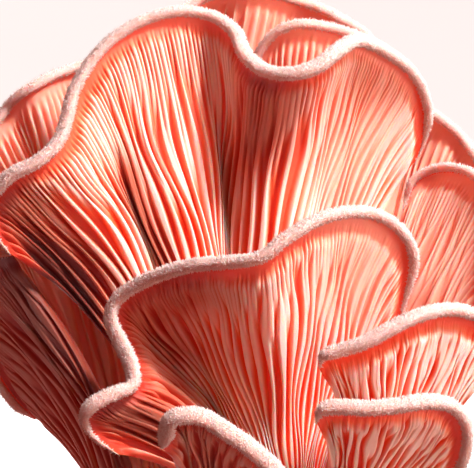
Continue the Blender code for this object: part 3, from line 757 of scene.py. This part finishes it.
def add_base(material):
    """The stub that the stems grow from, with a collar of flesh around each stem, melted into one skin."""
    bm = lumpy_body()
    for spec in MUSHROOMS.values():
        made = bmesh.ops.create_uvsphere(
            bm, u_segments=COLLAR_SIDES, v_segments=COLLAR_RINGS, radius=1.0
        )["verts"]
        side, front = facing(spec.get("turn", 0.0))
        lean = Vector(spec["lean"]).normalized()
        for v in made:
            wide = 1.0 - COLLAR_NARROWS * v.co.z
            across = Vector(side) * v.co.x * (spec["radii"][0] + COLLAR_WIDER) * wide
            outward = Vector(front) * v.co.y * (spec["radii"][1] + COLLAR_WIDER) * wide
            upward = lean * v.co.z * COLLAR_HEIGHT
            v.co = Vector((*spec["foot"], COLLAR_MIDDLE)) + across + outward + upward
    for v in bm.verts:
        v.co *= MM
    mesh = bpy.data.meshes.new("cut_base_rough")
    bm.to_mesh(mesh)
    bm.free()
    rough = bpy.data.objects.new("cut_base_rough", mesh)
    bpy.context.scene.collection.objects.link(rough)
    melt = rough.modifiers.new("melt", "REMESH")
    melt.mode = "VOXEL"
    melt.voxel_size = BASE_VOXEL * MM
    soft = rough.modifiers.new("soft", "SMOOTH")
    soft.iterations = BASE_SMOOTHINGS
    soft.factor = BASE_SMOOTHER
    deps = bpy.context.evaluated_depsgraph_get()
    skin = bpy.data.meshes.new_from_object(rough.evaluated_get(deps))
    bpy.data.objects.remove(rough)
    for v in skin.vertices:
        spot = v.co / MM
        ripple = noise.noise(spot * RIPPLE_SCALE) * RIPPLE_HEIGHT
        ripple += noise.noise(spot * Vector(FIBRE_SCALE)) * FIBRE_HEIGHT
        v.co += v.normal * ripple * MM
        v.co.z = max(v.co.z, 0.0)
    skin.shade_smooth()
    piece = add_piece("base", skin, material)
    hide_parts("cut_base")


class Look:
    """A Principled material with a few short ways to wire it."""

    def __init__(self, name):
        self.material = bpy.data.materials.new(name)
        self.material.use_nodes = True
        self.tree = self.material.node_tree
        self.shader = self.tree.nodes["Principled BSDF"]

    def node(self, kind, **sockets):
        made = self.tree.nodes.new("ShaderNode" + kind)
        for title, value in sockets.items():
            socket = made.inputs[title.replace("_", " ")]
            if isinstance(value, bpy.types.NodeSocket):
                self.tree.links.new(value, socket)
            else:
                socket.default_value = value
        return made

    def attribute(self, title):
        made = self.node("Attribute")
        made.attribute_name = title
        return made.outputs["Fac"]

    def texture(self, kind, scale, stretch=(1, 1, 1), **sockets):
        place = self.node("TexCoord").outputs["Object"]
        mapped = self.node("Mapping", Vector=place, Scale=stretch).outputs["Vector"]
        return self.node(kind, Vector=mapped, Scale=scale, **sockets)

    def ramp(self, factor, stops):
        made = self.node("ValToRGB", Fac=factor)
        points = made.color_ramp.elements
        while len(points) < len(stops):
            points.new(1.0)
        for point, (place, colour) in zip(points, stops):
            point.position = place
            point.color = (*colour, 1.0)
        return made.outputs["Color"]

    def mix(self, factor, first, second, blend="MIX"):
        made = self.tree.nodes.new("ShaderNodeMix")
        made.data_type = "RGBA"
        made.blend_type = blend
        sockets = (made.inputs[0], made.inputs[6], made.inputs[7])
        for socket, value in zip(sockets, (factor, first, second)):
            if isinstance(value, bpy.types.NodeSocket):
                self.tree.links.new(value, socket)
            else:
                socket.default_value = value if isinstance(value, float) else (*value, 1.0)
        return made.outputs[2]

    def set(self, **sockets):
        for title, value in sockets.items():
            socket = self.shader.inputs[title.replace("_", " ")]
            if isinstance(value, bpy.types.NodeSocket):
                self.tree.links.new(value, socket)
            else:
                socket.default_value = value


def fan_look():
    """Flesh of the fans: red grooves, coral walls and pale gill edges, a pale margin and a pink back. The
    grooves' dark red is partly painted shade; spots of painted shade darken the flesh, and a painted light
    wash pales the gills.
    """
    look = Look("pink_flesh")
    # Gill colour by height: darker, redder grooves, partly the flesh's own colour and partly painted shade
    gills = look.ramp(look.attribute("gill"), GILL_COLOURS_AND_GROOVE_SHADE)
    patches = look.texture("TexNoise", scale=60.0, Detail=3.0).outputs["Fac"]
    patches = look.ramp(patches, ((0.4, (0, 0, 0)), (0.8, (0.25, 0.25, 0.25))))
    gills = look.mix(patches, gills, PATCH_COLOUR)
    # Painted light wash: paler coral over the gills in place of strong light
    gills = look.mix(look.attribute("painted_light_wash"), gills, PAINTED_LIGHT_WASH_COLOUR)
    streaks = look.texture("TexNoise", scale=420.0, stretch=(1, 1, 0.12), Detail=4.0).outputs["Fac"]
    top = look.ramp(streaks, BACK_COLOURS)
    stem = look.ramp(look.attribute("stretch"), ((0.0, (0.5, 0.5, 0.5)), (0.35, (0, 0, 0))))
    top = look.mix(stem, top, STEM_COLOUR)
    colour = look.mix(look.attribute("top"), gills, top)
    # Painted shade: the spots multiply the colour redder and darker, down to near black
    painted_shade = look.ramp(look.attribute("painted_shade"), PAINTED_SHADE_COLOURS)
    colour = look.mix(1.0, colour, painted_shade, blend="MULTIPLY")
    colour = look.mix(look.attribute("pale"), colour, RIM_COLOUR)
    grain = look.texture("TexNoise", scale=2600.0, Detail=2.0).outputs["Fac"]
    bump = look.node("Bump", Height=grain, Strength=0.25, Distance=0.0001).outputs["Normal"]
    look.set(Base_Color=colour, Normal=bump, Roughness=0.55)
    look.set(Subsurface_Weight=0.7, Subsurface_Radius=(1.0, 0.2, 0.1), Subsurface_Scale=0.0022)
    look.set(Sheen_Weight=0.1, Sheen_Roughness=0.5)
    look.shader.inputs["Specular IOR Level"].default_value = 0.3
    return look.material


def felt_look():
    """The pale, matt hairs of the margins."""
    look = Look("felt")
    tint = look.texture("TexNoise", scale=900.0, Detail=2.0).outputs["Fac"]
    look.set(Base_Color=look.ramp(tint, FELT_COLOURS), Roughness=0.7)
    look.set(Subsurface_Weight=0.2, Subsurface_Radius=(1.0, 0.5, 0.4), Subsurface_Scale=0.0006)
    return look.material


def base_look():
    """The paler, fibrous flesh of the base."""
    look = Look("base_flesh")
    cloud = look.texture("TexNoise", scale=90.0, Detail=5.0).outputs["Fac"]
    fibre = look.texture("TexNoise", scale=700.0, stretch=(1, 1, 0.2), Detail=4.0).outputs["Fac"]
    fibres = look.ramp(fibre, ((0.45, (0, 0, 0)), (0.7, (0.5, 0.5, 0.5))))
    colour = look.mix(fibres, look.ramp(cloud, BASE_COLOURS), FIBRE_COLOUR)
    bump = look.node("Bump", Height=fibre, Strength=0.5, Distance=0.0004).outputs["Normal"]
    look.set(Base_Color=colour, Normal=bump, Roughness=0.65)
    look.set(Subsurface_Weight=0.25, Subsurface_Radius=(1.0, 0.4, 0.3), Subsurface_Scale=0.002)
    return look.material


def floor_look():
    """A plain pale floor that glows a little, so that it stays even."""
    look = Look("floor")
    cloud = look.texture("TexNoise", scale=3.0).outputs["Fac"]
    pale = look.ramp(cloud, FLOOR_COLOURS)
    look.set(Base_Color=pale, Emission_Color=pale, Emission_Strength=1.25, Roughness=0.8)
    return look.material


def add_floor():
    """A pale round floor that sweeps up into a wall all around."""
    profile = [(FLOOR_INNER, 0.0), (FLOOR_FLAT, 0.0)]
    for a in np.radians(np.linspace(*BEND_ANGLES)):
        profile.append((FLOOR_FLAT + WALL_BEND * math.sin(a), WALL_BEND * (1 - math.cos(a))))
    profile.append((FLOOR_FLAT + WALL_BEND, WALL_TOP))
    bm = bmesh.new()
    rings = []
    for radius, height in profile:
        made = bmesh.ops.create_circle(bm, segments=FLOOR_SIDES, radius=radius)["verts"]
        for v in made:
            v.co.z = height
        rings.append(made)
    for low, high in zip(rings, rings[1:]):
        for i in range(FLOOR_SIDES):
            k = (i + 1) % FLOOR_SIDES
            bm.faces.new((low[i], high[i], high[k], low[k]))
    bm.faces.new(rings[0])
    mesh = bpy.data.meshes.new("floor")
    bm.to_mesh(mesh)
    bm.free()
    mesh.shade_smooth()
    floor = bpy.data.objects.new("floor", mesh)
    floor.data.materials.append(floor_look())
    floor.visible_diffuse = False
    bpy.context.scene.collection.objects.link(floor)


def add_light(name, place, aim, energy, size, colour):
    data = bpy.data.lights.new(name, "AREA")
    data.shape = "DISK"
    data.size = size
    data.energy = energy
    data.color = colour
    light = bpy.data.objects.new(name, data)
    light.location = place
    light.rotation_euler = (Vector(aim) - Vector(place)).to_track_quat("-Z", "Y").to_euler()
    bpy.context.scene.collection.objects.link(light)


def add_lights():
    """The three lights, and a faint red surrounding that fills the shade."""
    for name, facts in LIGHTS.items():
        add_light(name, **facts)
    world = bpy.data.worlds.new("studio")
    world.use_nodes = True
    sky = world.node_tree.nodes["Background"]
    sky.inputs["Color"].default_value = SURROUNDING
    sky.inputs["Strength"].default_value = SURROUNDING_STRENGTH
    bpy.context.scene.world = world


def add_camera():
    data = bpy.data.cameras.new("camera")
    data.sensor_width = SENSOR
    data.lens = SENSOR * CAMERA_DISTANCE / (PHOTO_WIDTH * PIXEL)
    data.clip_start = 0.01
    camera = bpy.data.objects.new("camera", data)
    camera.location = (0.0, -CAMERA_DISTANCE * MM, CAMERA_HEIGHT * MM)
    camera.rotation_euler = (math.pi / 2, 0.0, 0.0)
    bpy.context.scene.collection.objects.link(camera)
    bpy.context.scene.camera = camera


def main():
    """The whole scene around the loaded frame."""
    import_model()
    add_camera()
    flesh, felt = fan_look(), felt_look()
    for number, (name, spec) in enumerate(MUSHROOMS.items()):
        rng = np.random.default_rng(number + FIRST_SEED)
        gilled, plain = add_mushroom(name, spec, flesh, rng)
        add_felt(name, spec, gilled, plain, felt, rng)
    add_base(base_look())
    add_floor()
    add_lights()
    bpy.context.scene.view_settings.view_transform = "Standard"


main()
